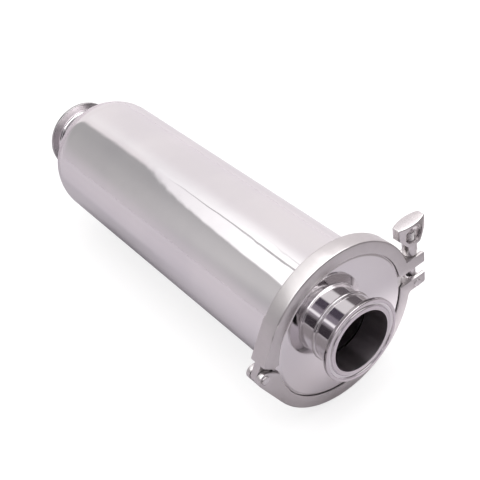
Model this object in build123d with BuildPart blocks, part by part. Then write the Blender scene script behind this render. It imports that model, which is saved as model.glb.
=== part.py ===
from build123d import *
from math import acos, cos, degrees, radians, sin, sqrt, tan
import os

os.makedirs("parts", exist_ok=True)

# Inline strainer in stainless steel, in millimetres.
# The pipe axis is X. The origin is the centre of the outlet ferrule's face, and the body runs to -X.
# +Y points to the clamp's lugs and wing nut, -Y to its hinge, and +Z is up.

# Pipe ends
pipe_od = 50.8
pipe_wall = 1.65
ferrule_od = 64.0
outlet_length = 21.5
inlet_length = 18.5
pipe_groove_inset = 3.85

# Form that all ferrules share
rim_thickness = 2.85
bevel_angle = 20.0
rim_round = 0.6
heel_round = 2.0
groove_radius = 1.6

# Housing
overall_length = 367.0
body_od = 101.6
body_wall = 2.0
body_flange_od = 119.0
body_ferrule_length = 21.5
body_groove_inset = 4.33
knuckle_radius = 34.0
collar_length = 3.0
collar_round = 2.5

# Cap and its welds
plate_thickness = 5.0
outlet_socket = 2.0
spigot_socket = 1.5
spigot_reach = 26.0
weld_leg = 1.7

# Gasket between the cap and the body
gasket_thickness = 2.0
gasket_bead = 1.4

# Clamp rings
clamp_width = 13.2
clamp_back = 4.9
clamp_grip = 3.8
clamp_edge_round = 1.0
rim_clearance = 0.6
flank_gap = 0.45
upper_end_z = 6.6
lower_end_z = -3.4

# Hinge of the clamp
hinge_z = 1.4
hinge_wall = 2.3
hinge_pin_r = 2.3
hinge_head_r = 3.4
hinge_head_height = 1.2
ear_r = 5.5
tongue_r = 5.1
tongue_width = 5.8
side_gap = 0.3
ear_relief = 2.9
relief_angle = 49.0
shoulder_r = 6.0
shoulder_rise = 9.6
shoulder_bulge = 3.5
web_angle = 26.0
web_end_angle = 4.0
shoulder_angle = 36.0

# Lugs of the clamp
lug_reach = 14.5
lug_thickness = 9.2
lug_corner = 1.6
lug_root_round = 3.0
slot_clearance = 0.35
eye_clearance = 0.8

# Swing bolt and the rivet that it swings on
bolt_offset = 7.0
bolt_r = 3.95
bolt_length = 45.9
bolt_chamfer = 0.8
eye_r = 6.0
eye_width = 7.8
bolt_pin_drop = 6.0
bolt_pin_r = 2.2
bolt_head_r = 3.0
bolt_head_height = 0.7

# Fits
running_gap = 0.08
rivet_gap = 0.02
slide_gap = 0.1

# Wing nut
nut_seat_gap = 0.05
hub_r = 5.4
hub_round = 1.2
hub_height = 10.5
wing_span = 25.2
wing_height = 28.9
wing_tip_height = 9.2
wing_middle = 11.4
wing_tip = 6.2
wing_tip_round = 1.2
wing_turn = -1.0
wing_round = 0.8
window_width = 16.0
window_height = 13.0
window_roof = 2.2
window_corner = 6.0

# Strainer element
screen_od = 72.0
screen_wall = 1.5
head_clearance = 3.6
screen_seat = 8.0
hole_diameter = 13.0
hole_rows = 12
holes_around = 8
shoulder_length = 6.0
mesh_thickness = 0.6
mesh_gap = 0.05
mesh_margin = 3.0
band_width = 8.0
band_thickness = 1.0
ring_section_r = 1.15
ring_gap = 0.02
ring_side_gap = 0.25
end_disc = 2.5
fin_count = 3
fin_thickness = 3.0
fin_length = 14.0
fin_heel = 6.0
fin_gap = 0.3

# Places along the pipe axis
pipe_r = pipe_od / 2
bore_r = pipe_r - pipe_wall
body_r = body_od / 2
body_bore_r = body_r - body_wall
body_flange_r = body_flange_od / 2
plate_front_x = outlet_socket - outlet_length
plate_back_x = plate_front_x - plate_thickness
spigot_x = plate_back_x + spigot_socket
body_face_x = plate_back_x - gasket_thickness
clamp_x = plate_back_x - gasket_thickness / 2
tube_front_x = body_face_x - body_ferrule_length
inlet_face_x = -overall_length
inlet_weld_x = inlet_face_x + inlet_length

# The head's knuckle is an arc that ends where it meets the pipe
knuckle_r = body_r - knuckle_radius
knuckle_inside = knuckle_radius - body_wall
knuckle_sweep = acos((pipe_r - knuckle_r) / knuckle_radius)
inside_sweep = acos((bore_r - knuckle_r) / knuckle_inside)
head_x = inlet_weld_x + collar_length + knuckle_radius * sin(knuckle_sweep)

# Places on the clamp
clamp_plane = Plane.YZ.offset(clamp_x)
clamp_floor_r = body_flange_r + rim_clearance
clamp_outer_r = clamp_floor_r + clamp_back
clamp_inner_r = body_flange_r - clamp_grip
clamp_web_r = (clamp_outer_r - clamp_inner_r) / 2
hinge_y = -(clamp_floor_r + hinge_wall + ear_r)
hinge_axis = Axis((clamp_x, hinge_y, hinge_z), (1, 0, 0))
shoulder_z = hinge_z + shoulder_rise
shoulder_y = -sqrt((clamp_outer_r + shoulder_bulge - shoulder_r) ** 2 - shoulder_z**2)
lug_end_y = clamp_outer_r + lug_reach
lug_top_z = upper_end_z + lug_thickness
lug_bottom_z = lower_end_z - lug_thickness
slot_width = 2 * (bolt_r + slot_clearance)
bolt_y = clamp_outer_r + bolt_offset
bolt_pin_z = lower_end_z - bolt_pin_drop
bolt_pin_axis = Axis((clamp_x, bolt_y, bolt_pin_z), (1, 0, 0))
nut_seat_z = lug_top_z + nut_seat_gap

# Places on the strainer element
screen_r = screen_od / 2
screen_x = plate_back_x - shoulder_length
screen_end_x = head_x + head_clearance + fin_length + end_disc
screen_length = screen_x - screen_end_x
mesh_r = screen_r + mesh_gap
band_r = mesh_r + mesh_thickness + mesh_gap
collar_bore_r = pipe_r + slide_gap
ring_r = pipe_r + ring_gap + ring_section_r
ring_x = plate_back_x - (shoulder_length + screen_seat) / 2


def ferrule_section(face_x, way, flange_r, tube_r, wall, length, groove_inset):
    """Half section of a ferrule with a gasket groove, from its face in the direction of way."""
    rise = (flange_r - tube_r) * tan(radians(bevel_angle))
    with BuildLine() as outline:
        FilletPolyline(
            (face_x, tube_r - wall),
            (face_x, flange_r),
            (face_x + way * rim_thickness, flange_r),
            (face_x + way * (rim_thickness + rise), tube_r),
            (face_x + way * length, tube_r),
            (face_x + way * length, tube_r - wall),
            radius=[0, rim_round, rim_round, heel_round, 0, 0],
            close=True,
        )
    make_face(outline.edges())
    with Locations((face_x, flange_r - groove_inset)):
        Circle(groove_radius, mode=Mode.SUBTRACT)


def tube_section(start_x, end_x, outer_r, wall):
    """Half section of a plain tube."""
    with Locations(((start_x + end_x) / 2, outer_r - wall / 2)):
        Rectangle(abs(end_x - start_x), wall)


def rivet_section(shank_r, head_r, head_height, axis_y):
    """Half section of a rivet through the clamp, with a rounded head on each face."""
    with Locations((clamp_x, axis_y + shank_r / 2)):
        Rectangle(clamp_width + head_height, shank_r)
    for side in (-1, 1):
        with Locations((clamp_x + side * (clamp_width + head_height) / 2, axis_y + head_r / 2)):
            Rectangle(head_height, head_r)
    corners = vertices().group_by(Axis.Y)[-1].sort_by(Axis.X)
    fillet((corners[0], corners[-1]), 0.8 * head_height)


def clamp_ring_section():
    """Half section of the clamp's ring before its groove is cut."""
    with Locations((clamp_x, (clamp_outer_r + clamp_inner_r) / 2)):
        Rectangle(clamp_width, clamp_outer_r - clamp_inner_r)
    fillet(vertices().group_by(Axis.Y)[-1], clamp_edge_round)


def clamp_groove_section():
    """Half section of the space inside the clamp, with the bevelled groove for the two rims."""
    rim_half = gasket_thickness / 2 + rim_thickness + flank_gap
    floor_half = rim_half - rim_clearance * tan(radians(bevel_angle))
    lip_half = rim_half + clamp_grip * tan(radians(bevel_angle))
    with BuildLine() as outline:
        Polyline(
            (clamp_x - clamp_width, 0),
            (clamp_x + clamp_width, 0),
            (clamp_x + clamp_width, clamp_inner_r),
            (clamp_x + lip_half, clamp_inner_r),
            (clamp_x + floor_half, clamp_floor_r),
            (clamp_x - floor_half, clamp_floor_r),
            (clamp_x - lip_half, clamp_inner_r),
            (clamp_x - clamp_width, clamp_inner_r),
            close=True,
        )
    make_face(outline.edges())


def lug_outline(ring_z, far_z):
    """Front view of a lug, from the clamp's split face to the face away from it."""
    with BuildLine() as outline:
        FilletPolyline(
            (clamp_inner_r, ring_z),
            (lug_end_y, ring_z),
            (lug_end_y, far_z),
            (clamp_inner_r, far_z),
            radius=[0, lug_corner / 2, lug_corner, 0],
            close=True,
        )
    make_face(outline.edges())


def band_section(start_x, way):
    """Half section of a band round the mesh, from start_x in the direction of way."""
    tube_section(start_x, start_x + way * band_width, band_r + band_thickness, band_thickness)
    chamfer(vertices().group_by(Axis.Y)[-1], band_thickness / 3)


# Outlet ferrule, whose tube end sits in the cap plate
with BuildPart() as outlet_ferrule:
    with BuildSketch():
        ferrule_section(0, -1, ferrule_od / 2, pipe_r, pipe_wall, outlet_length, pipe_groove_inset)
    revolve(axis=Axis.X)

# Cap plate with its rim bevel, gasket groove, two sockets and the weld around the outlet
with BuildPart() as cap_plate:
    flat_r = body_flange_r - (plate_thickness - rim_thickness) / tan(radians(bevel_angle))
    with BuildSketch():
        with BuildLine():
            FilletPolyline(
                (plate_front_x, pipe_r),
                (plate_front_x, flat_r),
                (plate_back_x + rim_thickness, body_flange_r),
                (plate_back_x, body_flange_r),
                (plate_back_x, pipe_r),
                (spigot_x, pipe_r),
                (spigot_x, bore_r),
                (plate_front_x - outlet_socket, bore_r),
                (plate_front_x - outlet_socket, pipe_r),
                radius=[0, heel_round, rim_round, rim_round, 0, 0, 0, 0, 0],
                close=True,
            )
        make_face()
        with Locations((plate_back_x, body_flange_r - body_groove_inset)):
            Circle(groove_radius, mode=Mode.SUBTRACT)
        with Locations((plate_front_x, pipe_r)):
            Circle(weld_leg)
        with Locations((plate_front_x, pipe_r - weld_leg)):
            Rectangle(2 * outlet_socket, 2 * weld_leg, mode=Mode.SUBTRACT)
    revolve(axis=Axis.X)

# Spigot behind the cap, on which the strainer element slides
with BuildPart() as outlet_spigot:
    with BuildSketch():
        tube_section(spigot_x, plate_back_x - spigot_reach, pipe_r, pipe_wall)
    revolve(axis=Axis.X)
    chamfer(edges().group_by(Axis.X)[0].sort_by(SortBy.RADIUS)[-1], pipe_wall / 2)

# Gasket with a bead on each face
with BuildPart() as cap_gasket:
    with BuildSketch():
        tube_section(plate_back_x, body_face_x, body_flange_r, body_flange_r - body_bore_r)
        with Locations(
            (plate_back_x, body_flange_r - body_groove_inset),
            (body_face_x, body_flange_r - body_groove_inset),
        ):
            Circle(gasket_bead)
    revolve(axis=Axis.X)

# Ferrule at the open end of the body
with BuildPart() as body_ferrule:
    with BuildSketch():
        ferrule_section(
            body_face_x, -1, body_flange_r, body_r, body_wall, body_ferrule_length, body_groove_inset
        )
    revolve(axis=Axis.X)

# Body tube
with BuildPart() as body_tube:
    with BuildSketch():
        tube_section(tube_front_x, head_x, body_r, body_wall)
    revolve(axis=Axis.X)

# Dished end with a pulled collar for the inlet
with BuildPart() as dished_end:
    knuckle_end = (head_x - knuckle_radius * sin(knuckle_sweep), pipe_r)
    inside_end = (head_x - knuckle_inside * sin(inside_sweep), bore_r)
    with BuildSketch():
        with BuildLine():
            Line((head_x, body_bore_r), (head_x, body_r))
            CenterArc((head_x, knuckle_r), knuckle_radius, 90, degrees(knuckle_sweep))
            Polyline(knuckle_end, (inlet_weld_x, pipe_r), (inlet_weld_x, bore_r), inside_end)
            CenterArc((head_x, knuckle_r), knuckle_inside, 90, degrees(inside_sweep))
        make_face()
        fillet(vertices().sort_by_distance((*knuckle_end, 0))[0], collar_round)
        fillet(vertices().sort_by_distance((*inside_end, 0))[0], collar_round + pipe_wall)
    revolve(axis=Axis.X)

# Inlet ferrule
with BuildPart() as inlet_ferrule:
    with BuildSketch():
        ferrule_section(
            inlet_face_x, 1, ferrule_od / 2, pipe_r, pipe_wall, inlet_length, pipe_groove_inset
        )
    revolve(axis=Axis.X)

# Upper half of the clamp, with its shoulder and tongue at the hinge and its forked lug
with BuildPart() as clamp_upper_half:
    with BuildSketch():
        clamp_ring_section()
    revolve(axis=Axis.X)
    split(bisect_by=Plane.XY.offset(upper_end_z), keep=Keep.TOP)
    with BuildSketch(clamp_plane):
        lug_outline(upper_end_z, lug_top_z)
    extrude(amount=clamp_width / 2, both=True)
    with BuildSketch(clamp_plane):
        with Locations((shoulder_y, shoulder_z)):
            Circle(shoulder_r)
        with PolarLocations(clamp_outer_r - clamp_web_r, 1, start_angle=180 - shoulder_angle):
            Circle(clamp_web_r)
        make_hull()
    extrude(amount=clamp_width / 2, both=True)
    with BuildSketch(clamp_plane):
        with Locations(Location((hinge_y, hinge_z, 0), (0, 0, relief_angle))):
            Rectangle(2 * (ear_r + ear_relief), 4.4 * ear_r)
    extrude(amount=clamp_width, both=True, mode=Mode.SUBTRACT)
    with BuildSketch(clamp_plane):
        with Locations((hinge_y, hinge_z)):
            Circle(tongue_r)
        with Locations((shoulder_y, shoulder_z)):
            Circle(tongue_r)
        make_hull()
    extrude(amount=tongue_width / 2, both=True)
    with BuildSketch():
        clamp_groove_section()
    revolve(axis=Axis.X, mode=Mode.SUBTRACT)
    with BuildSketch(Plane.XY.offset(upper_end_z)):
        with Locations((clamp_x, bolt_y)):
            Circle(slot_width / 2)
        with Locations((clamp_x, bolt_y + lug_reach / 2)):
            Rectangle(slot_width, lug_reach)
    extrude(amount=lug_thickness, mode=Mode.SUBTRACT)
    with BuildSketch(clamp_plane):
        with Locations((hinge_y, hinge_z)):
            Circle(hinge_pin_r + running_gap)
    extrude(amount=clamp_width, both=True, mode=Mode.SUBTRACT)

# Lower half of the clamp, with its two ears at the hinge and its forked lug
with BuildPart() as clamp_lower_half:
    with BuildSketch():
        clamp_ring_section()
    revolve(axis=Axis.X)
    split(bisect_by=Plane.XY.offset(lower_end_z), keep=Keep.BOTTOM)
    with BuildSketch(clamp_plane):
        lug_outline(lower_end_z, lug_bottom_z)
    extrude(amount=clamp_width / 2, both=True)
    lug_root = edges().filter_by(Axis.X).filter_by_position(Axis.Y, clamp_inner_r, clamp_outer_r)
    fillet(lug_root.group_by(Axis.Z)[0], lug_root_round)
    with BuildSketch(clamp_plane):
        with Locations((hinge_y, hinge_z)):
            Circle(ear_r)
        for angle in (web_end_angle, web_angle):
            with PolarLocations(clamp_outer_r - clamp_web_r, 1, start_angle=180 + angle):
                Circle(clamp_web_r)
        make_hull()
    extrude(amount=clamp_width / 2, both=True)
    with BuildSketch(clamp_plane):
        with Locations((hinge_y, hinge_z), (shoulder_y, shoulder_z)):
            Circle(ear_r + side_gap)
        make_hull()
    extrude(amount=tongue_width / 2 + side_gap, both=True, mode=Mode.SUBTRACT)
    with BuildSketch():
        clamp_groove_section()
    revolve(axis=Axis.X, mode=Mode.SUBTRACT)
    with BuildSketch(Plane.XY.offset(lower_end_z)):
        slot_start_y = bolt_y - eye_r - eye_clearance
        with Locations((clamp_x, slot_start_y + lug_reach / 2)):
            Rectangle(slot_width, lug_reach)
    extrude(amount=-2 * lug_thickness, mode=Mode.SUBTRACT)
    with BuildSketch(clamp_plane):
        with Locations((hinge_y, hinge_z)):
            Circle(hinge_pin_r + rivet_gap)
        with Locations((bolt_y, bolt_pin_z)):
            Circle(bolt_pin_r + rivet_gap)
    extrude(amount=clamp_width, both=True, mode=Mode.SUBTRACT)

# Rivet of the hinge
with BuildPart() as hinge_pin:
    with BuildSketch(Plane.XY.offset(hinge_z)):
        rivet_section(hinge_pin_r, hinge_head_r, hinge_head_height, hinge_y)
    revolve(axis=hinge_axis)

# Rivet that the bolt swings on
with BuildPart() as bolt_pin:
    with BuildSketch(Plane.XY.offset(bolt_pin_z)):
        rivet_section(bolt_pin_r, bolt_head_r, bolt_head_height, bolt_y)
    revolve(axis=bolt_pin_axis)

# Swing bolt with its eye
with BuildPart() as swing_bolt:
    with BuildSketch(Plane.XY.offset(bolt_pin_z)):
        with Locations((clamp_x, bolt_y)):
            Circle(bolt_r)
    extrude(amount=bolt_length)
    chamfer(edges().group_by(Axis.Z)[-1], bolt_chamfer)
    with BuildSketch(clamp_plane):
        with Locations((bolt_y, bolt_pin_z)):
            Circle(eye_r)
    extrude(amount=eye_width / 2, both=True)
    with BuildSketch(clamp_plane):
        with Locations((bolt_y, bolt_pin_z)):
            Circle(bolt_pin_r + running_gap)
    extrude(amount=eye_width, both=True, mode=Mode.SUBTRACT)

# Wing nut with a window between its wings
turn = radians(wing_turn)
nut_seat = Plane((clamp_x, bolt_y, nut_seat_z), x_dir=(sin(turn), cos(turn), 0), z_dir=(0, 0, 1))
nut_front = Plane(nut_seat.origin, x_dir=nut_seat.x_dir, z_dir=(cos(turn), -sin(turn), 0))
with BuildPart() as wing_nut:
    with BuildSketch(nut_front):
        with BuildLine():
            Polyline(
                (hub_r, hub_height),
                (wing_span / 2, wing_height - wing_tip_height),
                (wing_span / 2, wing_height),
                (-wing_span / 2, wing_height),
                (-wing_span / 2, wing_height - wing_tip_height),
                (-hub_r, hub_height),
                close=True,
            )
        make_face()
    extrude(amount=wing_middle, both=True)
    with BuildSketch(nut_seat):
        with BuildLine():
            ThreePointArc(
                (-wing_span / 2, -wing_tip / 2), (0, -wing_middle / 2), (wing_span / 2, -wing_tip / 2)
            )
            Line((wing_span / 2, -wing_tip / 2), (wing_span / 2, wing_tip / 2))
            ThreePointArc(
                (wing_span / 2, wing_tip / 2), (0, wing_middle / 2), (-wing_span / 2, wing_tip / 2)
            )
            Line((-wing_span / 2, wing_tip / 2), (-wing_span / 2, -wing_tip / 2))
        make_face()
    extrude(amount=2 * wing_height, mode=Mode.INTERSECT)
    fillet(edges().filter_by(Axis.Z), wing_tip_round)
    fillet(edges().group_by(Axis.Z)[-1], wing_round)
    with BuildSketch(nut_seat):
        Circle(hub_r)
    extrude(amount=hub_height + hub_r)
    fillet(edges().group_by(Axis.Z)[0], hub_round)
    with BuildSketch(nut_front):
        with Locations((0, wing_height - window_roof - window_height / 2)):
            RectangleRounded(window_width, window_height, window_corner)
    extrude(amount=wing_middle, both=True, mode=Mode.SUBTRACT)
    with BuildSketch(nut_seat):
        Circle(bolt_r + running_gap)
    extrude(amount=wing_height - window_roof - window_height / 2, mode=Mode.SUBTRACT)

# Collar of the strainer element, with a shoulder, a seat for the screen and a groove for its ring
with BuildPart() as strainer_collar:
    with BuildSketch():
        seat_r = screen_r - screen_wall - mesh_gap
        seat_end_x = screen_x - screen_seat
        ring_groove_width = 2 * (ring_section_r + ring_side_gap)
        ring_groove_depth = 2 * (ring_section_r + running_gap)
        tube_section(plate_back_x, screen_x, screen_r, screen_r - collar_bore_r)
        tube_section(plate_back_x, seat_end_x, seat_r, seat_r - collar_bore_r)
        with Locations((ring_x, ring_r)):
            Rectangle(ring_groove_width, ring_groove_depth, mode=Mode.SUBTRACT)
    revolve(axis=Axis.X)

# Ring that seals the collar on the spigot
with BuildPart() as collar_o_ring:
    with BuildSketch():
        with Locations((ring_x, ring_r)):
            Circle(ring_section_r)
    revolve(axis=Axis.X)

# Perforated tube of the strainer element, with every second row of holes turned by half a pitch
with BuildPart() as strainer_tube:
    with BuildSketch():
        tube_section(screen_x, screen_end_x, screen_r, screen_wall)
    revolve(axis=Axis.X)
    row_pitch = (screen_length - 2 * screen_seat) / hole_rows
    hole_planes = [
        Plane(
            (screen_x - screen_seat - (row + 0.5) * row_pitch, 0, 0),
            x_dir=(1, 0, 0),
            z_dir=(0, cos(angle), sin(angle)),
        )
        for row in range(hole_rows)
        for angle in [radians((hole + row / 2) * 360 / holes_around) for hole in range(holes_around)]
    ]
    with BuildSketch(*hole_planes):
        Circle(hole_diameter / 2)
    extrude(amount=screen_r + screen_wall, mode=Mode.SUBTRACT)

# Sleeve of woven wire round the perforated tube
with BuildPart() as mesh_sleeve:
    with BuildSketch():
        tube_section(
            screen_x - mesh_margin, screen_end_x + mesh_margin, mesh_r + mesh_thickness, mesh_thickness
        )
    revolve(axis=Axis.X)

# Bands that hold the sleeve at its two ends
with BuildPart() as mesh_band_front:
    with BuildSketch():
        band_section(screen_x - 2 * mesh_margin, -1)
    revolve(axis=Axis.X)

with BuildPart() as mesh_band_rear:
    with BuildSketch():
        band_section(screen_end_x + 2 * mesh_margin, 1)
    revolve(axis=Axis.X)

# Closed end of the strainer element, with fins that centre it in the body
with BuildPart() as strainer_end_cap:
    disc_back_x = screen_end_x - end_disc
    fin_tip_r = body_bore_r - fin_gap
    plug_r = screen_r - screen_wall - mesh_gap
    with BuildSketch():
        tube_section(screen_end_x, disc_back_x, screen_r, screen_r)
        tube_section(screen_end_x + screen_seat, screen_end_x, plug_r, screen_wall)
    revolve(axis=Axis.X)
    fin_planes = [
        Plane((0, 0, 0), x_dir=(1, 0, 0), z_dir=(0, cos(angle), sin(angle)))
        for angle in [radians(fin * 360 / fin_count) for fin in range(fin_count)]
    ]
    with BuildSketch(*fin_planes):
        with BuildLine():
            Polyline(
                (disc_back_x, screen_r / 2),
                (disc_back_x, screen_r),
                (disc_back_x - fin_heel, fin_tip_r),
                (disc_back_x - fin_length, fin_tip_r),
                (disc_back_x - fin_length, screen_r),
                close=True,
            )
        make_face()
    extrude(amount=fin_thickness / 2, both=True)

pieces = {
    "outlet_ferrule": outlet_ferrule,
    "cap_plate": cap_plate,
    "outlet_spigot": outlet_spigot,
    "cap_gasket": cap_gasket,
    "body_ferrule": body_ferrule,
    "body_tube": body_tube,
    "dished_end": dished_end,
    "inlet_ferrule": inlet_ferrule,
    "clamp_upper_half": clamp_upper_half,
    "clamp_lower_half": clamp_lower_half,
    "hinge_pin": hinge_pin,
    "bolt_pin": bolt_pin,
    "swing_bolt": swing_bolt,
    "wing_nut": wing_nut,
    "strainer_collar": strainer_collar,
    "collar_o_ring": collar_o_ring,
    "strainer_tube": strainer_tube,
    "mesh_sleeve": mesh_sleeve,
    "mesh_band_front": mesh_band_front,
    "mesh_band_rear": mesh_band_rear,
    "strainer_end_cap": strainer_end_cap,
}
for name, piece in pieces.items():
    piece.part.label = name
    export_step(piece.part, f"parts/{name}.step")
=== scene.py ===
from math import cos, pi, radians, sin

import bpy
from mathutils import Matrix, Vector


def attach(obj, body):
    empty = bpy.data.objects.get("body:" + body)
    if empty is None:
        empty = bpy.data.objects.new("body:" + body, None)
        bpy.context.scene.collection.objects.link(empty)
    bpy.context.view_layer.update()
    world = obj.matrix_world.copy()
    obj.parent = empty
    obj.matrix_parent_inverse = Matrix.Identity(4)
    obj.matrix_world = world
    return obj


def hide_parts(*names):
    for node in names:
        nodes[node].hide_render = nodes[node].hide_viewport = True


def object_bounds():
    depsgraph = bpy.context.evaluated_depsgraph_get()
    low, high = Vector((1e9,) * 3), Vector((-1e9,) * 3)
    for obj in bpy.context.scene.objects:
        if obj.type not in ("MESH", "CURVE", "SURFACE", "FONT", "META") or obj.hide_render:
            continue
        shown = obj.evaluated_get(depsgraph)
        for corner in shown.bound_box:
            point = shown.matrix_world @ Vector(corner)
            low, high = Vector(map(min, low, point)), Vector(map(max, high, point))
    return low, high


# The frame: the CAD nodes at rest, in metres, with the pipe axis along X and the outlet at +X
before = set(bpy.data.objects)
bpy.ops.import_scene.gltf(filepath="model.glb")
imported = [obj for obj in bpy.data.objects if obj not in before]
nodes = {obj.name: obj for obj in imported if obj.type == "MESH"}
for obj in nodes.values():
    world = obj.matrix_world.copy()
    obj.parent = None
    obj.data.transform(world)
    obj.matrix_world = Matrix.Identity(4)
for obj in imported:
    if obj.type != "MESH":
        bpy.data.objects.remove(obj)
cad_low, cad_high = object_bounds()
scene = bpy.context.scene
mm = 0.001


def tone(red, green, blue):
    """A colour written as it looks on screen, from 0 to 255, as linear values by the usual screen curve."""
    channels = []
    for value in (red, green, blue):
        value = value / 255
        channels.append(value / 12.92 if value <= 0.04045 else ((value + 0.055) / 1.055) ** 2.4)
    return (*channels, 1)


# Camera, at the photograph's viewing angle
camera_azimuth = radians(31.29)
camera_elevation = radians(39.76)
camera_roll = radians(-10.90)
camera_place = Vector((0.33333, -0.27950, 0.47157))
focal_pixels = 952.1
image_side = 480
principal_x = 239.84
principal_y = 230.51
sensor_width = 36.0
clip_near = 0.01
clip_far = 20


def make_camera():
    """A camera with the photograph's place, turn, lens and framing."""
    data = bpy.data.cameras.new("camera")
    camera = bpy.data.objects.new("camera", data)
    scene.collection.objects.link(camera)
    back = Vector((
        cos(camera_azimuth) * cos(camera_elevation),
        -sin(camera_azimuth) * cos(camera_elevation),
        sin(camera_elevation),
    ))
    level_right = Vector((0, 0, 1)).cross(back).normalized()
    level_up = back.cross(level_right)
    right = level_right * cos(camera_roll) + level_up * sin(camera_roll)
    up = level_up * cos(camera_roll) - level_right * sin(camera_roll)
    turn = Matrix((right, up, back)).transposed().to_4x4()
    camera.matrix_world = Matrix.Translation(camera_place) @ turn
    data.sensor_width = sensor_width
    data.lens = focal_pixels * sensor_width / image_side
    data.shift_x = (image_side / 2 - principal_x) / image_side
    data.shift_y = (principal_y - image_side / 2) / image_side
    data.clip_start = clip_near
    data.clip_end = clip_far
    scene.camera = camera


class Shade:
    """A node tree with short calls for the nodes that these finishes are made of."""

    def __init__(self, tree):
        self.tree = tree

    def add(self, kind, **settings):
        """A node of the kind, with its settings."""
        node = self.tree.nodes.new(kind)
        for name, value in settings.items():
            setattr(node, name, value)
        return node

    def feed(self, socket, value):
        """Gives the socket a value, or the output of another node."""
        if isinstance(value, bpy.types.NodeSocket):
            self.tree.links.new(value, socket)
        else:
            socket.default_value = value

    def split(self, vector):
        """The X, Y and Z of a vector."""
        node = self.add("ShaderNodeSeparateXYZ")
        self.feed(node.inputs[0], vector)
        return node.outputs

    def math(self, operation, first, second=0.5, third=0.5):
        """A sum of up to three values; those that the operation has no use for are left out."""
        node = self.add("ShaderNodeMath", operation=operation)
        for socket, value in zip(node.inputs, (first, second, third)):
            self.feed(socket, value)
        return node.outputs[0]

    def product(self, *values):
        """All the values multiplied."""
        result = values[0]
        for value in values[1:]:
            result = self.math("MULTIPLY", result, value)
        return result

    def mixed(self, first, share, second):
        """The first value's share, and the rest of the second value."""
        return self.math("MULTIPLY_ADD", first, share, self.math("MULTIPLY", second, 1 - share))

    def ramp(self, value, low, high, to_low=0.0, to_high=1.0, smooth=True):
        """The value moved from the span low to high onto the span to_low to to_high, held at both ends."""
        node = self.add("ShaderNodeMapRange", interpolation_type="SMOOTHSTEP" if smooth else "LINEAR")
        for socket, number in zip(node.inputs, (value, low, high, to_low, to_high)):
            self.feed(socket, number)
        return node.outputs[0]

    def rise(self, value, span):
        """From 0 up to 1 while the value crosses the span."""
        return self.ramp(value, *span)

    def fall(self, value, span):
        """From 1 down to 0 while the value crosses the span."""
        return self.ramp(value, *span, 1, 0)

    def blend(self, share, first, second):
        """One colour turning into another as the share goes from 0 to 1."""
        node = self.add("ShaderNodeMix", data_type="RGBA")
        self.feed(node.inputs["Factor"], share)
        self.feed(node.inputs[6], first)
        self.feed(node.inputs[7], second)
        return node.outputs[2]

    def fade(self, value, span, first, second):
        """One colour turning into another while the value crosses the span."""
        return self.blend(self.rise(value, span), first, second)

    def place(self, scale=(1, 1, 1)):
        """The piece's own coordinates, stretched."""
        coordinates = self.add("ShaderNodeTexCoord")
        mapping = self.add("ShaderNodeMapping")
        self.feed(mapping.inputs["Vector"], coordinates.outputs["Object"])
        mapping.inputs["Scale"].default_value = scale
        return mapping.outputs["Vector"]

    def noise(self, vector, scale=1, detail=2.0, rough=0.5):
        """Soft noise, from 0 to 1."""
        node = self.add("ShaderNodeTexNoise")
        self.feed(node.inputs["Vector"], vector)
        node.inputs["Scale"].default_value = scale
        node.inputs["Detail"].default_value = detail
        node.inputs["Roughness"].default_value = rough
        return node.outputs["Fac"]

    def bump(self, height, depth, under=None):
        """A bump of the given depth, in metres, on top of another."""
        node = self.add("ShaderNodeBump")
        node.inputs["Strength"].default_value = 1
        node.inputs["Distance"].default_value = depth
        self.feed(node.inputs["Height"], height)
        if under is not None:
            self.feed(node.inputs["Normal"], under)
        return node.outputs["Normal"]


def new_finish(name, metallic=1):
    """A material with its principled shader, and the short calls for its nodes."""
    material = bpy.data.materials.new(name)
    material.use_nodes = True
    shader = material.node_tree.nodes["Principled BSDF"]
    shader.inputs["Metallic"].default_value = metallic
    return material, shader, Shade(material.node_tree)


# Finishes, with pattern scales in turns for each metre and roughness from gloss to dull
cloud_span = (0.35, 0.65)
noise_span = (0.3, 0.7)

# Polished steel, with the radius measured from the pipe axis
polish_cloud = 14
polish_stretch = 18
polish_wear = (60, 30, 30)
line_share = 0.5
wave_stretch = 2.2
middle_to_face = 183.5 * mm
face_span = (middle_to_face - 0.9 * mm, middle_to_face - 0.5 * mm)
face_tone = tone(222, 217, 220)
face_haze = 0.05
turned_edge = 0.3 * mm
turned_tone = tone(190, 188, 189)
turned_haze = 0.18
bore_edge = 0.2 * mm
bore_tone = tone(222, 216, 220)
bore_streaks = (4, 110, 110)
streak_span = (0.4, 0.6)
streak_haze = (0.26, 0.36)


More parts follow.
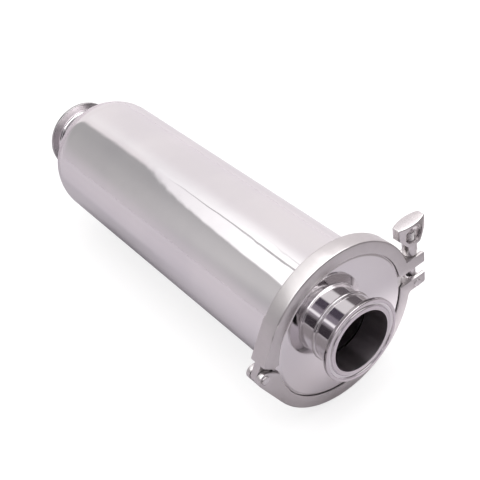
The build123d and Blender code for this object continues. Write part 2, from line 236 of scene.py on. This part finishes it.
def polished_steel(name, light, dark, gloss, dull, wave, wave_size, line_scale, line_depth,
                   bore=None, turned=None, faced=False):
    """Mirror steel: long soft waves from polishing, and fine lines round the pipe axis.

    It is duller inside the bore's radius, beyond the turned radius, and on the faces of the two pipe ends.
    """
    material, shader, shade = new_finish(name)
    cloud = shade.noise(shade.place(), scale=polish_cloud, detail=3)
    colour = shade.fade(cloud, cloud_span, light, dark)
    lines = shade.noise(shade.place((line_scale, polish_stretch, polish_stretch)), rough=0.6)
    wear = shade.noise(shade.place(polish_wear), detail=3)
    haze = shade.ramp(shade.mixed(lines, line_share, wear), *noise_span, gloss, dull)
    x, y, z = shade.split(shade.place())
    if faced:
        from_middle = shade.math("ABSOLUTE", shade.math("ADD", x, middle_to_face))
        on_face = shade.rise(from_middle, face_span)
        colour = shade.blend(on_face, colour, face_tone)
        haze = shade.math("MULTIPLY_ADD", on_face, face_haze, haze)
    square = shade.math("MULTIPLY_ADD", z, z, shade.math("MULTIPLY", y, y))
    radius = shade.math("SQRT", square)
    if turned:
        beyond = shade.rise(radius, (turned - turned_edge, turned + turned_edge))
        colour = shade.blend(beyond, colour, turned_tone)
        haze = shade.math("MULTIPLY_ADD", beyond, turned_haze, haze)
    if bore:
        inside = shade.fall(radius, (bore - bore_edge, bore + bore_edge))
        streaks = shade.noise(shade.place(bore_streaks), rough=0.6)
        haze = shade.math("MULTIPLY_ADD", inside, shade.ramp(streaks, *streak_span, *streak_haze), haze)
        colour = shade.blend(inside, colour, bore_tone)
    shade.feed(shader.inputs["Base Color"], colour)
    shade.feed(shader.inputs["Roughness"], haze)
    wave_round = wave_size * wave_stretch
    waves = shade.noise(shade.place((wave_size, wave_round, wave_round)), detail=3, rough=0.4)
    normal = shade.bump(waves, wave)
    shade.feed(shader.inputs["Normal"], shade.bump(lines, line_depth, normal))
    return material


# Cast steel
cast_cloud = 90
cast_grain = 800
cast_mottle = 240
cast_dents = 130
grain_share = 0.4
grain_depth = 0.0002 * mm
dent_depth = 0.01 * mm


def cast_steel(name, light, dark, gloss, dull):
    """Cast steel, tumbled to a satin: fine grain, faint clouds and soft dents."""
    material, shader, shade = new_finish(name)
    cloud = shade.noise(shade.place(), scale=cast_cloud, detail=4, rough=0.6)
    shade.feed(shader.inputs["Base Color"], shade.fade(cloud, noise_span, light, dark))
    grain = shade.noise(shade.place(), scale=cast_grain, detail=1)
    mottle = shade.noise(shade.place(), scale=cast_mottle, detail=3, rough=0.6)
    haze = shade.ramp(shade.mixed(grain, grain_share, mottle), *noise_span, gloss, dull)
    shade.feed(shader.inputs["Roughness"], haze)
    dents = shade.noise(shade.place(), scale=cast_dents)
    normal = shade.bump(dents, dent_depth)
    shade.feed(shader.inputs["Normal"], shade.bump(grain, grain_depth, normal))
    return material


# Turned steel
lathe_cloud = 200
lathe_depth = 0.006 * mm


def turned_steel(name, light, dark, gloss, dull, ring_scale):
    """Steel from the lathe: fine rings across the piece's axis."""
    material, shader, shade = new_finish(name)
    rings = shade.noise(shade.place(ring_scale), rough=0.7)
    cloud = shade.noise(shade.place(), scale=lathe_cloud, detail=3)
    shade.feed(shader.inputs["Base Color"], shade.fade(cloud, noise_span, light, dark))
    shade.feed(shader.inputs["Roughness"], shade.ramp(rings, *noise_span, gloss, dull))
    shade.feed(shader.inputs["Normal"], shade.bump(rings, lathe_depth))
    return material


# Wire cloth, woven about the pipe axis, with painted shade between the wires
wire_pitch = 0.55 * mm
wires_round = 208
wire_lift = 0.2
wire_depth = 0.12 * mm
wire_tone = tone(188, 185, 184)
wire_gap_painted_shade = tone(52, 50, 52)
wire_tone_span = (0.45, 0.9)
wire_haze_span = (0.4, 1.0)
wire_haze = (0.5, 0.28)


def wire_cloth(name):
    """Plain weave of fine wire on a sleeve about the pipe axis, with painted shade in the gaps between the
    wires.
    """
    material, shader, shade = new_finish(name)
    x, y, z = shade.split(shade.add("ShaderNodeTexCoord").outputs["Object"])
    along = shade.math("MULTIPLY", x, pi / wire_pitch)
    around = shade.math("MULTIPLY", shade.math("ARCTAN2", z, y), wires_round)
    ring_wires = shade.math("ABSOLUTE", shade.math("SINE", along))
    long_wires = shade.math("ABSOLUTE", shade.math("SINE", around))
    over = shade.math("MULTIPLY", shade.math("COSINE", along), shade.math("COSINE", around))
    weave = shade.math("MAXIMUM", shade.math("MULTIPLY_ADD", over, wire_lift, ring_wires),
                       shade.math("MULTIPLY_ADD", over, -wire_lift, long_wires))
    # The gaps between the wires are painted dark: painted shade, not a darker metal
    shade.feed(shader.inputs["Base Color"], shade.fade(weave, wire_tone_span, wire_gap_painted_shade, wire_tone))
    shade.feed(shader.inputs["Roughness"], shade.ramp(weave, *wire_haze_span, *wire_haze))
    shade.feed(shader.inputs["Normal"], shade.bump(weave, wire_depth))
    return material


# Silicone rubber
rubber_tones = (tone(236, 234, 230), tone(222, 220, 217))
rubber_haze = (0.38, 0.5)
rubber_cloud = 160
rubber_grain = 900
rubber_depth = 0.01 * mm
rubber_glow = 0.25
rubber_glow_reach = 2 * mm


def silicone(name):
    """White silicone rubber, faintly clouded."""
    material, shader, shade = new_finish(name, metallic=0)
    cloud = shade.noise(shade.place(), scale=rubber_cloud, detail=3)
    shade.feed(shader.inputs["Base Color"], shade.blend(cloud, *rubber_tones))
    shade.feed(shader.inputs["Roughness"], shade.ramp(cloud, *noise_span, *rubber_haze))
    shader.inputs["Subsurface Weight"].default_value = rubber_glow
    shader.inputs["Subsurface Radius"].default_value = [rubber_glow_reach] * 3
    shader.inputs["Subsurface Scale"].default_value = 1
    grain = shade.noise(shade.place(), scale=rubber_grain)
    shade.feed(shader.inputs["Normal"], shade.bump(grain, rubber_depth))
    return material


# Working on pieces
def choose(piece):
    """Only the piece selected, in object mode."""
    if bpy.context.mode != "OBJECT":
        bpy.ops.object.mode_set(mode="OBJECT")
    bpy.ops.object.select_all(action="DESELECT")
    piece.select_set(True)
    bpy.context.view_layer.objects.active = piece


def start_edit(piece):
    """Only the piece selected, in edit mode, with nothing in it selected."""
    choose(piece)
    bpy.ops.object.mode_set(mode="EDIT")
    bpy.ops.mesh.select_mode(type="VERT")
    bpy.ops.mesh.select_all(action="DESELECT")


def end_edit():
    """Back to object mode."""
    bpy.ops.object.mode_set(mode="OBJECT")


def pick(piece, wanted):
    """Selects the vertices whose place passes the test."""
    bpy.ops.object.mode_set(mode="OBJECT")
    for vertex in piece.data.vertices:
        vertex.select = bool(wanted(vertex.co))
    bpy.ops.object.mode_set(mode="EDIT")


def set_modifier(piece, kind, **settings):
    """Adds a modifier with its settings and applies it."""
    choose(piece)
    modifier = piece.modifiers.new(kind.lower(), kind)
    for name, value in settings.items():
        setattr(modifier, name, value)
    bpy.ops.object.modifier_apply(modifier=modifier.name)


def smooth(piece, angle):
    """Smooth shading, but for edges sharper than the angle."""
    choose(piece)
    bpy.ops.object.shade_smooth_by_angle(angle=angle)


def add_cylinder(radius, depth, height, sides, across=False):
    """A closed cylinder on the bolt's axis with its middle at the height, or lying along the pipe axis."""
    bpy.ops.object.select_all(action="DESELECT")
    bpy.ops.mesh.primitive_cylinder_add(vertices=sides, radius=radius, depth=depth,
                                        location=(bolt_x, bolt_y, height),
                                        rotation=(0, pi / 2 if across else 0, 0))
    bpy.ops.object.transform_apply(location=True, rotation=True, scale=True)
    return bpy.context.object


def set_finishes(piece, *materials):
    """Gives the piece its materials, the first one on every face."""
    piece.data.materials.clear()
    for material in materials:
        piece.data.materials.append(material)


def give(material, *names):
    """Gives the material to the named CAD nodes."""
    for name in names:
        set_finishes(nodes[name], material)


def join_body(piece, body, slot, *replaced):
    """Sets the body that the piece moves with, and hides the nodes that it stands for. The slot is not used."""
    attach(piece, body)
    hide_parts(*replaced)


# Castings
merge_reach = 0.002 * mm
flat_angle = radians(0.02)
rounding_steps = 3
casting_corner_angle = radians(38)
casting_smooth_angle = radians(32)
clamp_rounding = 0.45 * mm
nut_rounding = 0.6 * mm


def cast_copy(name, node, rounding, material, rubbed):
    """A copy of the CAD node with its edges rounded over and rubbed bright, as tumbling leaves a casting."""
    piece = bpy.data.objects.new(name, nodes[node].data.copy())
    scene.collection.objects.link(piece)
    set_finishes(piece, material, rubbed)
    start_edit(piece)
    bpy.ops.mesh.select_all(action="SELECT")
    bpy.ops.mesh.customdata_custom_splitnormals_clear()
    bpy.ops.mesh.remove_doubles(threshold=merge_reach)
    bpy.ops.mesh.dissolve_limited(angle_limit=flat_angle, use_dissolve_boundaries=False)
    end_edit()
    set_modifier(piece, "BEVEL", width=rounding, segments=rounding_steps, limit_method="ANGLE",
                 angle_limit=casting_corner_angle, use_clamp_overlap=True, material=1)
    smooth(piece, casting_smooth_angle)
    return piece


# Swing bolt, with the thread that its solid leaves out
bolt_x = -25.5 * mm
bolt_y = 72 * mm
bolt_eye_z = -9.4 * mm
bolt_tip_z = 36.5 * mm
eye_r = 6 * mm
eye_width = 7.8 * mm
eye_sides = 72
eye_rounding = 0.7 * mm
eye_corner_angle = radians(50)
eye_hole_r = 2.28 * mm
eye_hole_sides = 48
shank_r = 3.95 * mm
shank_sides = 56
shank_overlap = 0.4 * mm
shank_top_share = 0.9
shank_foot_share = 0.99
shank_foot_gap = 1 * mm
thread_low_z = 3 * mm
thread_pitch = 1.25 * mm
thread_depth = 0.68 * mm
thread_steps = 28
thread_merge_reach = 0.001 * mm
spare_turns = 4
tip_chamfer = 0.9 * mm
tip_share = 0.78
tip_reach = 0.01 * mm
bolt_smooth_angle = radians(35)

# Profile of one turn of the thread: radius, and height as a share of the pitch
root_r = shank_r - thread_depth
thread_profile = [(root_r, 0), (root_r, 0.12), (shank_r, 0.46), (shank_r, 0.62), (root_r, 0.96), (root_r, 1)]


def make_thread():
    """A rolled thread from its low end to the tip, closed at both ends, with a chamfer at the tip."""
    start_z = thread_low_z - spare_turns / 2 * thread_pitch
    turns = int((bolt_tip_z - thread_low_z) / thread_pitch) + spare_turns
    profile = bpy.data.meshes.new("swing_bolt_threaded")
    vertices = [(radius, 0, start_z + share * thread_pitch) for radius, share in thread_profile]
    edges = [(index, index + 1) for index in range(len(vertices) - 1)]
    profile.from_pydata(vertices, edges, [])
    bolt = bpy.data.objects.new("swing_bolt_threaded", profile)
    scene.collection.objects.link(bolt)
    set_modifier(bolt, "SCREW", angle=2 * pi, screw_offset=thread_pitch, iterations=turns, steps=thread_steps,
                 render_steps=thread_steps, axis="Z", use_merge_vertices=True,
                 merge_threshold=thread_merge_reach)
    start_edit(bolt)
    bpy.ops.mesh.select_all(action="SELECT")
    bpy.ops.mesh.remove_doubles(threshold=merge_reach)
    for height, outer in ((bolt_tip_z - tip_chamfer, None), (bolt_tip_z, True), (thread_low_z, False)):
        bpy.ops.mesh.select_all(action="SELECT")
        bpy.ops.mesh.bisect(plane_co=(0, 0, height), plane_no=(0, 0, 1), use_fill=outer is not None,
                            clear_outer=outer is True, clear_inner=outer is False)
    pick(bolt, lambda place: place.z > bolt_tip_z - tip_reach)
    bpy.ops.transform.resize(value=(tip_share, tip_share, 1), center_override=(0, 0, bolt_tip_z))
    bpy.ops.mesh.select_all(action="SELECT")
    bpy.ops.mesh.normals_make_consistent(inside=False)
    bpy.ops.transform.translate(value=(bolt_x, bolt_y, 0))
    end_edit()
    return bolt


def make_threaded_bolt():
    """The thread, the plain shank under it and the eye, joined, with the rivet's hole through the eye."""
    bolt = make_thread()
    eye = add_cylinder(eye_r, eye_width, bolt_eye_z, eye_sides, across=True)
    set_modifier(eye, "BEVEL", width=eye_rounding, segments=rounding_steps, limit_method="ANGLE",
                 angle_limit=eye_corner_angle)
    shank = add_cylinder(shank_r, thread_low_z - bolt_eye_z + shank_overlap,
                         (thread_low_z + shank_overlap + bolt_eye_z) / 2, shank_sides)
    start_edit(shank)
    for share, wanted in ((shank_top_share, lambda place: place.z > thread_low_z),
                          (shank_foot_share, lambda place: place.z < thread_low_z - shank_foot_gap)):
        pick(shank, wanted)
        bpy.ops.transform.resize(value=(share, share, 1), center_override=(bolt_x, bolt_y, 0))
    end_edit()
    hole = add_cylinder(eye_hole_r, eye_width * 2, bolt_eye_z, eye_hole_sides, across=True)
    set_modifier(eye, "BOOLEAN", object=shank, operation="UNION", solver="EXACT")
    set_modifier(eye, "BOOLEAN", object=hole, operation="DIFFERENCE", solver="EXACT")
    set_modifier(bolt, "BOOLEAN", object=eye, operation="UNION", solver="EXACT")
    for tool in (eye, shank, hole):
        bpy.data.objects.remove(tool)
    smooth(bolt, bolt_smooth_angle)
    return bolt


# Studio by direction: X to the outlet, Y to the wing nut, Z up; over a span one colour turns into the next
white = (1, 1, 1, 1)

# Walls behind the object: a grey one on the hinge's side and a pale one on the nut's side
grey_wall = (tone(204, 201, 202), tone(183, 181, 182))
grey_wall_by_inlet = (tone(187, 184, 185), tone(174, 172, 173))
grey_wall_span = (-0.62, -0.2)
by_inlet_span = (-0.78, -0.66)
wall_end = tone(180, 177, 180)
wall_end_span = (-0.8, -0.64)
wall_foot = tone(207, 200, 205)
wall_foot_span = (-0.02, 0.35)
pale_wall = (tone(243, 236, 240), tone(244, 238, 240))
pale_wall_span = (-0.2, 0.5)
corner_span = (-0.12, -0.02)
below_walls = (tone(196, 190, 198), tone(164, 158, 168))
below_walls_span = (-0.4, 0.1)
walls_start_span = (-0.55, -0.25)

# Light tent over the object, brightest by the cap, with lamps beyond it
tent_hinge_side = tone(253, 249, 251)
tent_nut_side = (1.06, 1.04, 1.05, 1)
tent_side_span = (-0.05, 0.03)
tent_by_cap = (1.3, 1.28, 1.29, 1)
tent_by_cap_span = (-0.75, -0.62)
tent_skirt = tone(243, 237, 240)
tent_skirt_span = (0.05, 0.42)
lamps_hinge_side = (3.2, 3.14, 3.14, 1)
lamps_nut_side = (4.1, 4.03, 4.03, 1)
lamps_side_span = (-0.1, 0.3)
lamps_span = (-0.52, -0.4)

# Seams of the tent: where X moves each from one Y to another, half width, lowest Z and darkness
tent_seams = {
    "wide_seam": ((-0.65, -0.625), (-0.02, -0.055), 0.011, 0.685, 0.78),
    "thin_seam": ((-0.635, -0.612), (0.165, 0.105), 0.007, 0.747, 0.4),
}
seam_tone = tone(150, 146, 148)
seam_soft_share = 0.5
seam_start_height = 0.04
seam_end_span = (-0.6, -0.55)
seam_narrowing_span = (-0.74, -0.63)
seam_narrowing = (1.6, 0.5)

# Lower edge of the tent: sharp and sloping on the hinge's side, soft on the nut's side
sharp_edge_span = (-0.86, -0.7)
sharp_edge_height = (0.72, 0.637)
sharp_edge_softness = 0.03
soft_edge_span = (0.45, 0.85)
edge_change_span = (-0.05, 0.12)

# Room in front of the cap: darker than the tent, with dark openings and a lamp window on the hinge's side
room_walls = (tone(168, 162, 166), tone(118, 112, 115))
room_walls_span = (-0.1, 0.35)
room_foot = tone(214, 206, 213)
room_foot_span = (-0.45, -0.15)
room_top = tone(246, 243, 244)
room_top_span = (0.5, 0.62)
room_span = (-0.05, 0.2)

# Patches of that room, by the direction's Y and Z: middle, half size, softness and colour
room_patches = {
    "dim_corner": ((-0.5, 0.68), (0.22, 0.22), 0.07, tone(146, 138, 149)),
    "dark_opening_above": ((-0.14, 0.82), (0.19, 0.13), 0.05, tone(84, 77, 89)),
    "dark_opening_beside": ((-0.87, 0.16), (0.16, 0.32), 0.05, tone(66, 60, 66)),
    "lamp_window": ((-0.6, 0.585), (0.055, 0.065), 0.05, (1.25, 1.22, 1.25, 1)),
    "grey_opening": ((0.86, 0.05), (0.14, 0.34), 0.06, tone(112, 106, 110)),
    "grey_below": ((-0.2, -0.86), (0.5, 0.16), 0.08, tone(138, 131, 136)),
}


def paint_walls(shade, x, y, z):
    """The walls behind the object, and what is below them."""
    by_cap = shade.fade(y, grey_wall_span, *grey_wall)
    by_inlet = shade.fade(y, grey_wall_span, *grey_wall_by_inlet)
    hinge_side = shade.fade(x, by_inlet_span, by_inlet, by_cap)
    hinge_side = shade.fade(y, wall_end_span, wall_end, hinge_side)
    hinge_side = shade.blend(shade.fall(z, wall_foot_span), hinge_side, wall_foot)
    nut_side = shade.fade(z, pale_wall_span, *pale_wall)
    walls = shade.fade(y, corner_span, hinge_side, nut_side)
    below = shade.fade(y, below_walls_span, *below_walls)
    return shade.fade(z, walls_start_span, below, walls)


def paint_tent(shade, x, y, z):
    """The light tent with its seams, and the lamps."""
    tent = shade.fade(y, tent_side_span, tent_hinge_side, tent_nut_side)
    tent = shade.fade(x, tent_by_cap_span, tent, tent_by_cap)
    narrowing = shade.ramp(x, *seam_narrowing_span, *seam_narrowing, smooth=False)
    for crossing, place, half, lowest, darkness in tent_seams.values():
        middle = shade.ramp(x, *crossing, *place)
        distance = shade.math("ABSOLUTE", shade.math("SUBTRACT", y, middle))
        soft = half * seam_soft_share
        seam = shade.fall(shade.product(distance, narrowing), (half - soft, half + soft))
        start = shade.ramp(z, lowest, lowest + seam_start_height, 0, darkness)
        end = shade.fall(x, seam_end_span)
        tent = shade.blend(shade.product(seam, start, end), tent, seam_tone)
    tent = shade.fade(y, tent_skirt_span, tent, tent_skirt)
    lamps = shade.fade(y, lamps_side_span, lamps_hinge_side, lamps_nut_side)
    return shade.fade(x, lamps_span, tent, lamps)


def find_tent(shade, x, y, z):
    """1 where the tent is seen and 0 below its edge."""
    edge = shade.ramp(x, *sharp_edge_span, *sharp_edge_height, smooth=False)
    sharp = shade.rise(shade.math("SUBTRACT", z, edge), (0, sharp_edge_softness))
    soft = shade.rise(z, soft_edge_span)
    change = shade.rise(y, edge_change_span)
    return shade.math("MULTIPLY_ADD", shade.math("SUBTRACT", soft, sharp), change, sharp)


def paint_room(shade, y, z):
    """The room in front of the cap, with its patches."""
    room = shade.fade(y, room_walls_span, *room_walls)
    room = shade.fade(z, room_foot_span, room_foot, room)
    room = shade.fade(z, room_top_span, room, room_top)
    for middle, spread, softness, colour in room_patches.values():
        shares = []
        for axis, centre, half in zip((y, z), middle, spread):
            distance = shade.math("ABSOLUTE", shade.math("SUBTRACT", axis, centre))
            shares.append(shade.fall(distance, (half - softness, half + softness)))
        room = shade.blend(shade.product(*shares), room, colour)
    return room


def make_world():
    """Soft light from above and pale walls, seen by the metal; white where the camera looks past the object."""
    world = bpy.data.worlds.new("studio")
    scene.world = world
    world.use_nodes = True
    shade = Shade(world.node_tree)
    x, y, z = shade.split(shade.add("ShaderNodeTexCoord").outputs["Generated"])
    seen = paint_walls(shade, x, y, z)
    tent = paint_tent(shade, x, y, z)
    seen = shade.blend(find_tent(shade, x, y, z), seen, tent)
    seen = shade.fade(x, room_span, seen, paint_room(shade, y, z))
    rays = shade.add("ShaderNodeLightPath")
    background = world.node_tree.nodes["Background"]
    shade.feed(background.inputs["Color"], shade.blend(rays.outputs["Is Camera Ray"], seen, white))
    background.inputs["Strength"].default_value = 1


# Floor, white with a soft shadow where the camera sees it
floor_side = 8.0
floor_gap = 0.3 * mm
floor_paint = (0.9, 0.9, 0.9, 1)
floor_glow = 1.08
floor_glow_share = 0.7

# Greys of the floor where the metal sees it, with spans of its X and Y in metres: beside the tube
beside_greys = ((0.435, 0.41, 0.435, 1), (0.4, 0.38, 0.405, 1))
beside_span = (-0.3, -0.08)
nut_side_grey = (0.55, 0.53, 0.545, 1)
nut_side_span = (-0.1, 0.2)
# Painted shadow on the floor beside the tube, on the hinge's side, seen only in the metal
painted_shadow_grey = (0.34, 0.325, 0.345, 1)
painted_shadow_end_x = (-0.3, -0.18)
painted_shadow_start_y = (-0.14, -0.1)
painted_shadow_end_y = (-0.05, 0)

# In front of the cap, close to it: painted light where the object's own shadow falls on the floor, fading to
# darker greys on the hinge's side, further in front and on the nut's side
close_painted_light_greys = ((0.56, 0.53, 0.55, 1), (0.9, 0.86, 0.89, 1))
close_span = (-0.03, 0.04)
close_hinge_grey = (0.3, 0.28, 0.29, 1)
close_hinge_span = (-0.06, -0.02)
close_front_grey = (0.42, 0.4, 0.425, 1)
close_front_span = (0, 0.042)
close_nut_grey = (0.4, 0.38, 0.4, 1)
close_nut_span = (0.08, 0.12)
close_end_x = (0.12, 0.2)
close_start_y = (-0.12, -0.06)
close_end_y = (0.13, 0.18)

# In front of the cap beyond that, and where the floor beside the tube turns into the floor in front
front_grey = (0.23, 0.215, 0.22, 1)
front_span = (-0.05, -0.01)

# Far away
far_greys = ((0.48, 0.455, 0.48, 1), (0.64, 0.615, 0.63, 1))
far_span = (-0.5, 0.5)
far_front_grey = (0.36, 0.345, 0.355, 1)
far_front_span = (-0.2, 0.4)
far_distance = (0.25, 1.5)


def paint_floor(shade):
    """The floor's grey where the metal sees it, with a painted shadow beside the tube and painted light close
    in front of the cap.
    """
    x, y, _ = shade.split(shade.place())
    beside = shade.fade(y, beside_span, *beside_greys)
    beside = shade.fade(y, nut_side_span, beside, nut_side_grey)
    # Painted shadow beside the tube
    painted_shadow = shade.product(shade.rise(y, painted_shadow_start_y), shade.fall(y, painted_shadow_end_y),
                           shade.fall(x, painted_shadow_end_x))
    beside = shade.blend(painted_shadow, beside, painted_shadow_grey)
    # Painted light close in front of the cap, over the object's own shadow, seen only in the metal
    close = shade.fade(y, close_span, *close_painted_light_greys)
    close = shade.fade(y, close_hinge_span, close_hinge_grey, close)
    close = shade.fade(x, close_front_span, close, close_front_grey)
    close = shade.fade(y, close_nut_span, close, close_nut_grey)
    reach = shade.product(shade.rise(y, close_start_y), shade.fall(y, close_end_y),
                          shade.fall(x, close_end_x))
    front = shade.blend(reach, front_grey, close)
    near = shade.fade(x, front_span, beside, front)
    far = shade.fade(y, far_span, *far_greys)
    far = shade.fade(x, far_front_span, far, far_front_grey)
    away = shade.add("ShaderNodeVectorMath", operation="LENGTH")
    shade.feed(away.inputs[0], shade.place())
    return shade.fade(away.outputs["Value"], far_distance, near, far)


def make_floor():
    """A pale floor under the lowest point: white to the camera but for a soft shadow, grey in the metal, with
    painted light and a painted shadow in that grey.
    """
    height = min(cad_low[2], cad_high[2]) - floor_gap
    bpy.ops.mesh.primitive_plane_add(size=floor_side, location=(0, 0, height))
    floor = bpy.context.object
    floor.name = "floor"
    bpy.ops.object.transform_apply(location=True, rotation=True, scale=True)
    material = bpy.data.materials.new("floor_white")
    material.use_nodes = True
    material.node_tree.nodes.clear()
    shade = Shade(material.node_tree)
    matt = shade.add("ShaderNodeBsdfDiffuse")
    matt.inputs["Color"].default_value = floor_paint
    glow = shade.add("ShaderNodeEmission")
    glow.inputs["Color"].default_value = white
    glow.inputs["Strength"].default_value = floor_glow
    pale = shade.add("ShaderNodeMixShader")
    pale.inputs["Fac"].default_value = floor_glow_share
    shade.feed(pale.inputs[1], matt.outputs[0])
    shade.feed(pale.inputs[2], glow.outputs[0])
    grey = shade.add("ShaderNodeBsdfDiffuse")
    shade.feed(grey.inputs["Color"], paint_floor(shade))
    rays = shade.add("ShaderNodeLightPath")
    seen = shade.add("ShaderNodeMixShader")
    shade.feed(seen.inputs["Fac"], rays.outputs["Is Camera Ray"])
    shade.feed(seen.inputs[1], grey.outputs[0])
    shade.feed(seen.inputs[2], pale.outputs[0])
    output = shade.add("ShaderNodeOutputMaterial")
    shade.feed(output.inputs["Surface"], seen.outputs[0])
    set_finishes(floor, material)


def add_lamp(name, place, aim, size, power):
    """A soft square lamp that faces the aim."""
    data = bpy.data.lights.new(name, "AREA")
    data.shape = "SQUARE"
    data.size = size
    data.energy = power
    lamp = bpy.data.objects.new(name, data)
    scene.collection.objects.link(lamp)
    direction = Vector(aim) - Vector(place)
    lamp.rotation_mode = "QUATERNION"
    lamp.rotation_quaternion = direction.to_track_quat("-Z", "Y")
    lamp.location = place
    lamp.visible_glossy = False


# Scene
make_camera()
scene.view_settings.view_transform = "Standard"
make_world()
make_floor()
add_lamp("top_lamp", place=(0.5, 0.05, 1.3), aim=(-0.05, 0, 0), size=0.9, power=6)

# Finishes of this strainer
body_polish = polished_steel("body_polish", tone(240, 238, 239), tone(234, 232, 234), gloss=0.03, dull=0.07,
                             wave=0.4 * mm, wave_size=16, line_scale=900, line_depth=0.0008 * mm,
                             bore=49.9 * mm)
pipe_polish = polished_steel("pipe_polish", tone(240, 238, 239), tone(232, 230, 232), gloss=0.03, dull=0.08,
                             wave=0.03 * mm, wave_size=40, line_scale=1400, line_depth=0.001 * mm,
                             bore=24 * mm, faced=True)
inlet_polish = polished_steel("inlet_polish", tone(240, 238, 239), tone(232, 230, 232), gloss=0.03, dull=0.08,
                              wave=0.03 * mm, wave_size=40, line_scale=1400, line_depth=0.001 * mm,
                              bore=24 * mm, turned=27 * mm, faced=True)
cap_satin = polished_steel("cap_satin", tone(234, 232, 233), tone(229, 226, 228), gloss=0.05, dull=0.09,
                           wave=0.02 * mm, wave_size=25, line_scale=700, line_depth=0.0008 * mm)
clamp_cast = cast_steel("clamp_cast", tone(212, 209, 209), tone(207, 204, 204), gloss=0.285, dull=0.31)
clamp_rubbed = cast_steel("clamp_rubbed", tone(232, 230, 230), tone(220, 217, 218), gloss=0.2, dull=0.24)
nut_cast = cast_steel("nut_cast", tone(222, 219, 219), tone(214, 210, 211), gloss=0.18, dull=0.23)
nut_rubbed = cast_steel("nut_rubbed", tone(238, 236, 236), tone(228, 225, 226), gloss=0.14, dull=0.18)
pin_steel = turned_steel("pin_steel", tone(232, 230, 230), tone(220, 217, 218), gloss=0.08, dull=0.16,
                         ring_scale=(40, 1600, 1600))
bolt_steel = turned_steel("bolt_steel", tone(228, 225, 226), tone(214, 211, 212), gloss=0.12, dull=0.22,
                          ring_scale=(40, 40, 1600))
element_steel = turned_steel("element_steel", tone(206, 203, 203), tone(188, 185, 186), gloss=0.29, dull=0.38,
                             ring_scale=(900, 30, 30))
woven_wire = wire_cloth("woven_wire")
white_silicone = silicone("white_silicone")

# Housing and cap
give(body_polish, "body_tube", "dished_end", "body_ferrule")
give(pipe_polish, "outlet_ferrule")
give(inlet_polish, "inlet_ferrule")
give(cap_satin, "cap_plate")

# Clamp
for half, body in (("clamp_upper_half", "clamp_upper"), ("clamp_lower_half", "housing")):
    casting = cast_copy(half + "_cast", half, clamp_rounding, clamp_cast, clamp_rubbed)
    join_body(casting, body, "cast_steel", half)
wing_nut = cast_copy("wing_nut_cast", "wing_nut", nut_rounding, nut_cast, nut_rubbed)
join_body(wing_nut, "nut", "cast_steel", "wing_nut")
give(pin_steel, "hinge_pin", "bolt_pin")
threaded_bolt = make_threaded_bolt()
set_finishes(threaded_bolt, bolt_steel)
join_body(threaded_bolt, "bolt", "turned_steel", "swing_bolt")

# Strainer element and seals
give(element_steel, "outlet_spigot", "strainer_collar", "strainer_tube", "mesh_band_front", "mesh_band_rear",
     "strainer_end_cap")
give(woven_wire, "mesh_sleeve")
give(white_silicone, "cap_gasket", "collar_o_ring")
